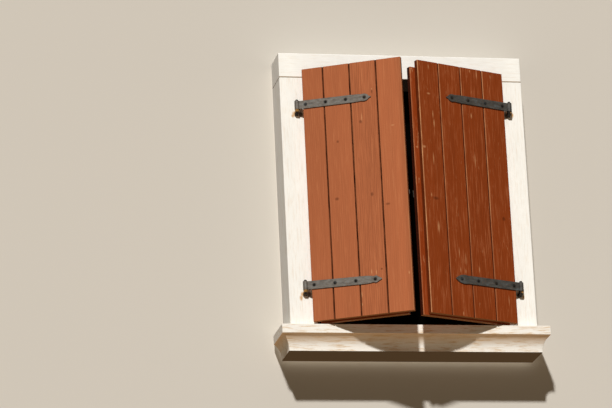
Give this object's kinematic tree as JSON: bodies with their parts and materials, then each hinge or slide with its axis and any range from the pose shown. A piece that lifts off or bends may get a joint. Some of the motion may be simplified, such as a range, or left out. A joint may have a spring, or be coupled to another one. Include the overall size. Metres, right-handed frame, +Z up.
{
  "type": "pair of window shutters",
  "caption": "Pair of weathered ledged plank shutters with strap hinges on pintles, in a moulded limestone window surround.",
  "frame": {"origin": "middle of the sill's bed, in the plane of the jambs' outer face", "axes": "+Z up, +X to the right for a viewer outside, +Y into the wall"},
  "size_m": [1.192, 0.3907, 1.364],
  "materials": {
    "painted_board": "weathered red-brown paint on knotty planks",
    "painted_inner_board": "worn brown paint on planks",
    "limestone": "lightly tooled cream limestone",
    "mortar": "raked lime mortar",
    "forged_iron": "weathered forged iron with flaking paint",
    "rusty_iron": "forged iron with golden rust"
  },
  "bodies": {
    "surround": {"left_jamb": "limestone", "left_lower_pintle": "rusty_iron", "left_upper_pintle": "rusty_iron", "lintel": "limestone", "lintel_mortar": "mortar", "right_jamb": "limestone", "right_lower_pintle": "rusty_iron", "right_upper_pintle": "rusty_iron", "sill": "limestone"},
    "left_leaf": {"bolt_guide_inner": "forged_iron", "bolt_guide_nails": "forged_iron", "bolt_guide_outer": "forged_iron", "left_board_nails": "forged_iron", "left_front_board_1": "painted_board", "left_front_board_2": "painted_board", "left_front_board_3": "painted_board", "left_front_board_4": "painted_board", "left_inner_board_1": "painted_inner_board", "left_inner_board_2": "painted_inner_board", "left_inner_board_3": "painted_inner_board", "left_inner_board_4": "painted_inner_board", "left_inner_board_5": "painted_inner_board", "left_inner_board_6": "painted_inner_board", "left_inner_board_7": "painted_inner_board", "left_inner_board_8": "painted_inner_board", "left_lower_strap": "forged_iron", "left_strap_nails": "forged_iron", "left_upper_strap": "forged_iron"},
    "slide_bolt": {"slide_bolt": "forged_iron"},
    "right_leaf": {"bolt_keeper": "forged_iron", "bolt_keeper_nails": "forged_iron", "right_board_nails": "forged_iron", "right_front_board_1": "painted_board", "right_front_board_2": "painted_board", "right_front_board_3": "painted_board", "right_front_board_4": "painted_board", "right_inner_board_1": "painted_inner_board", "right_inner_board_2": "painted_inner_board", "right_inner_board_3": "painted_inner_board", "right_inner_board_4": "painted_inner_board", "right_inner_board_5": "painted_inner_board", "right_inner_board_6": "painted_inner_board", "right_inner_board_7": "painted_inner_board", "right_inner_board_8": "painted_inner_board", "right_lower_strap": "forged_iron", "right_meeting_stile": "painted_inner_board", "right_strap_nails": "forged_iron", "right_upper_strap": "forged_iron"}
  },
  "joints": [
    {"name": "left_leaf_hinge", "type": "hinge", "parent": "surround", "child": "left_leaf", "pos_m": [-0.48125, -0.02425, 0.695], "axis": [0, 0, -1], "range_deg": [-26.2, 151.8]},
    {"name": "right_leaf_hinge", "type": "hinge", "parent": "surround", "child": "right_leaf", "pos_m": [0.48125, -0.02425, 0.7], "axis": [0, 0, 1], "range_deg": [-21.2, 156.8]},
    {"name": "bolt_slide", "type": "slide", "parent": "left_leaf", "child": "slide_bolt", "axis": [0.8973, -0.4415, 0], "range_m": [-0.03, 0]}
  ]
}
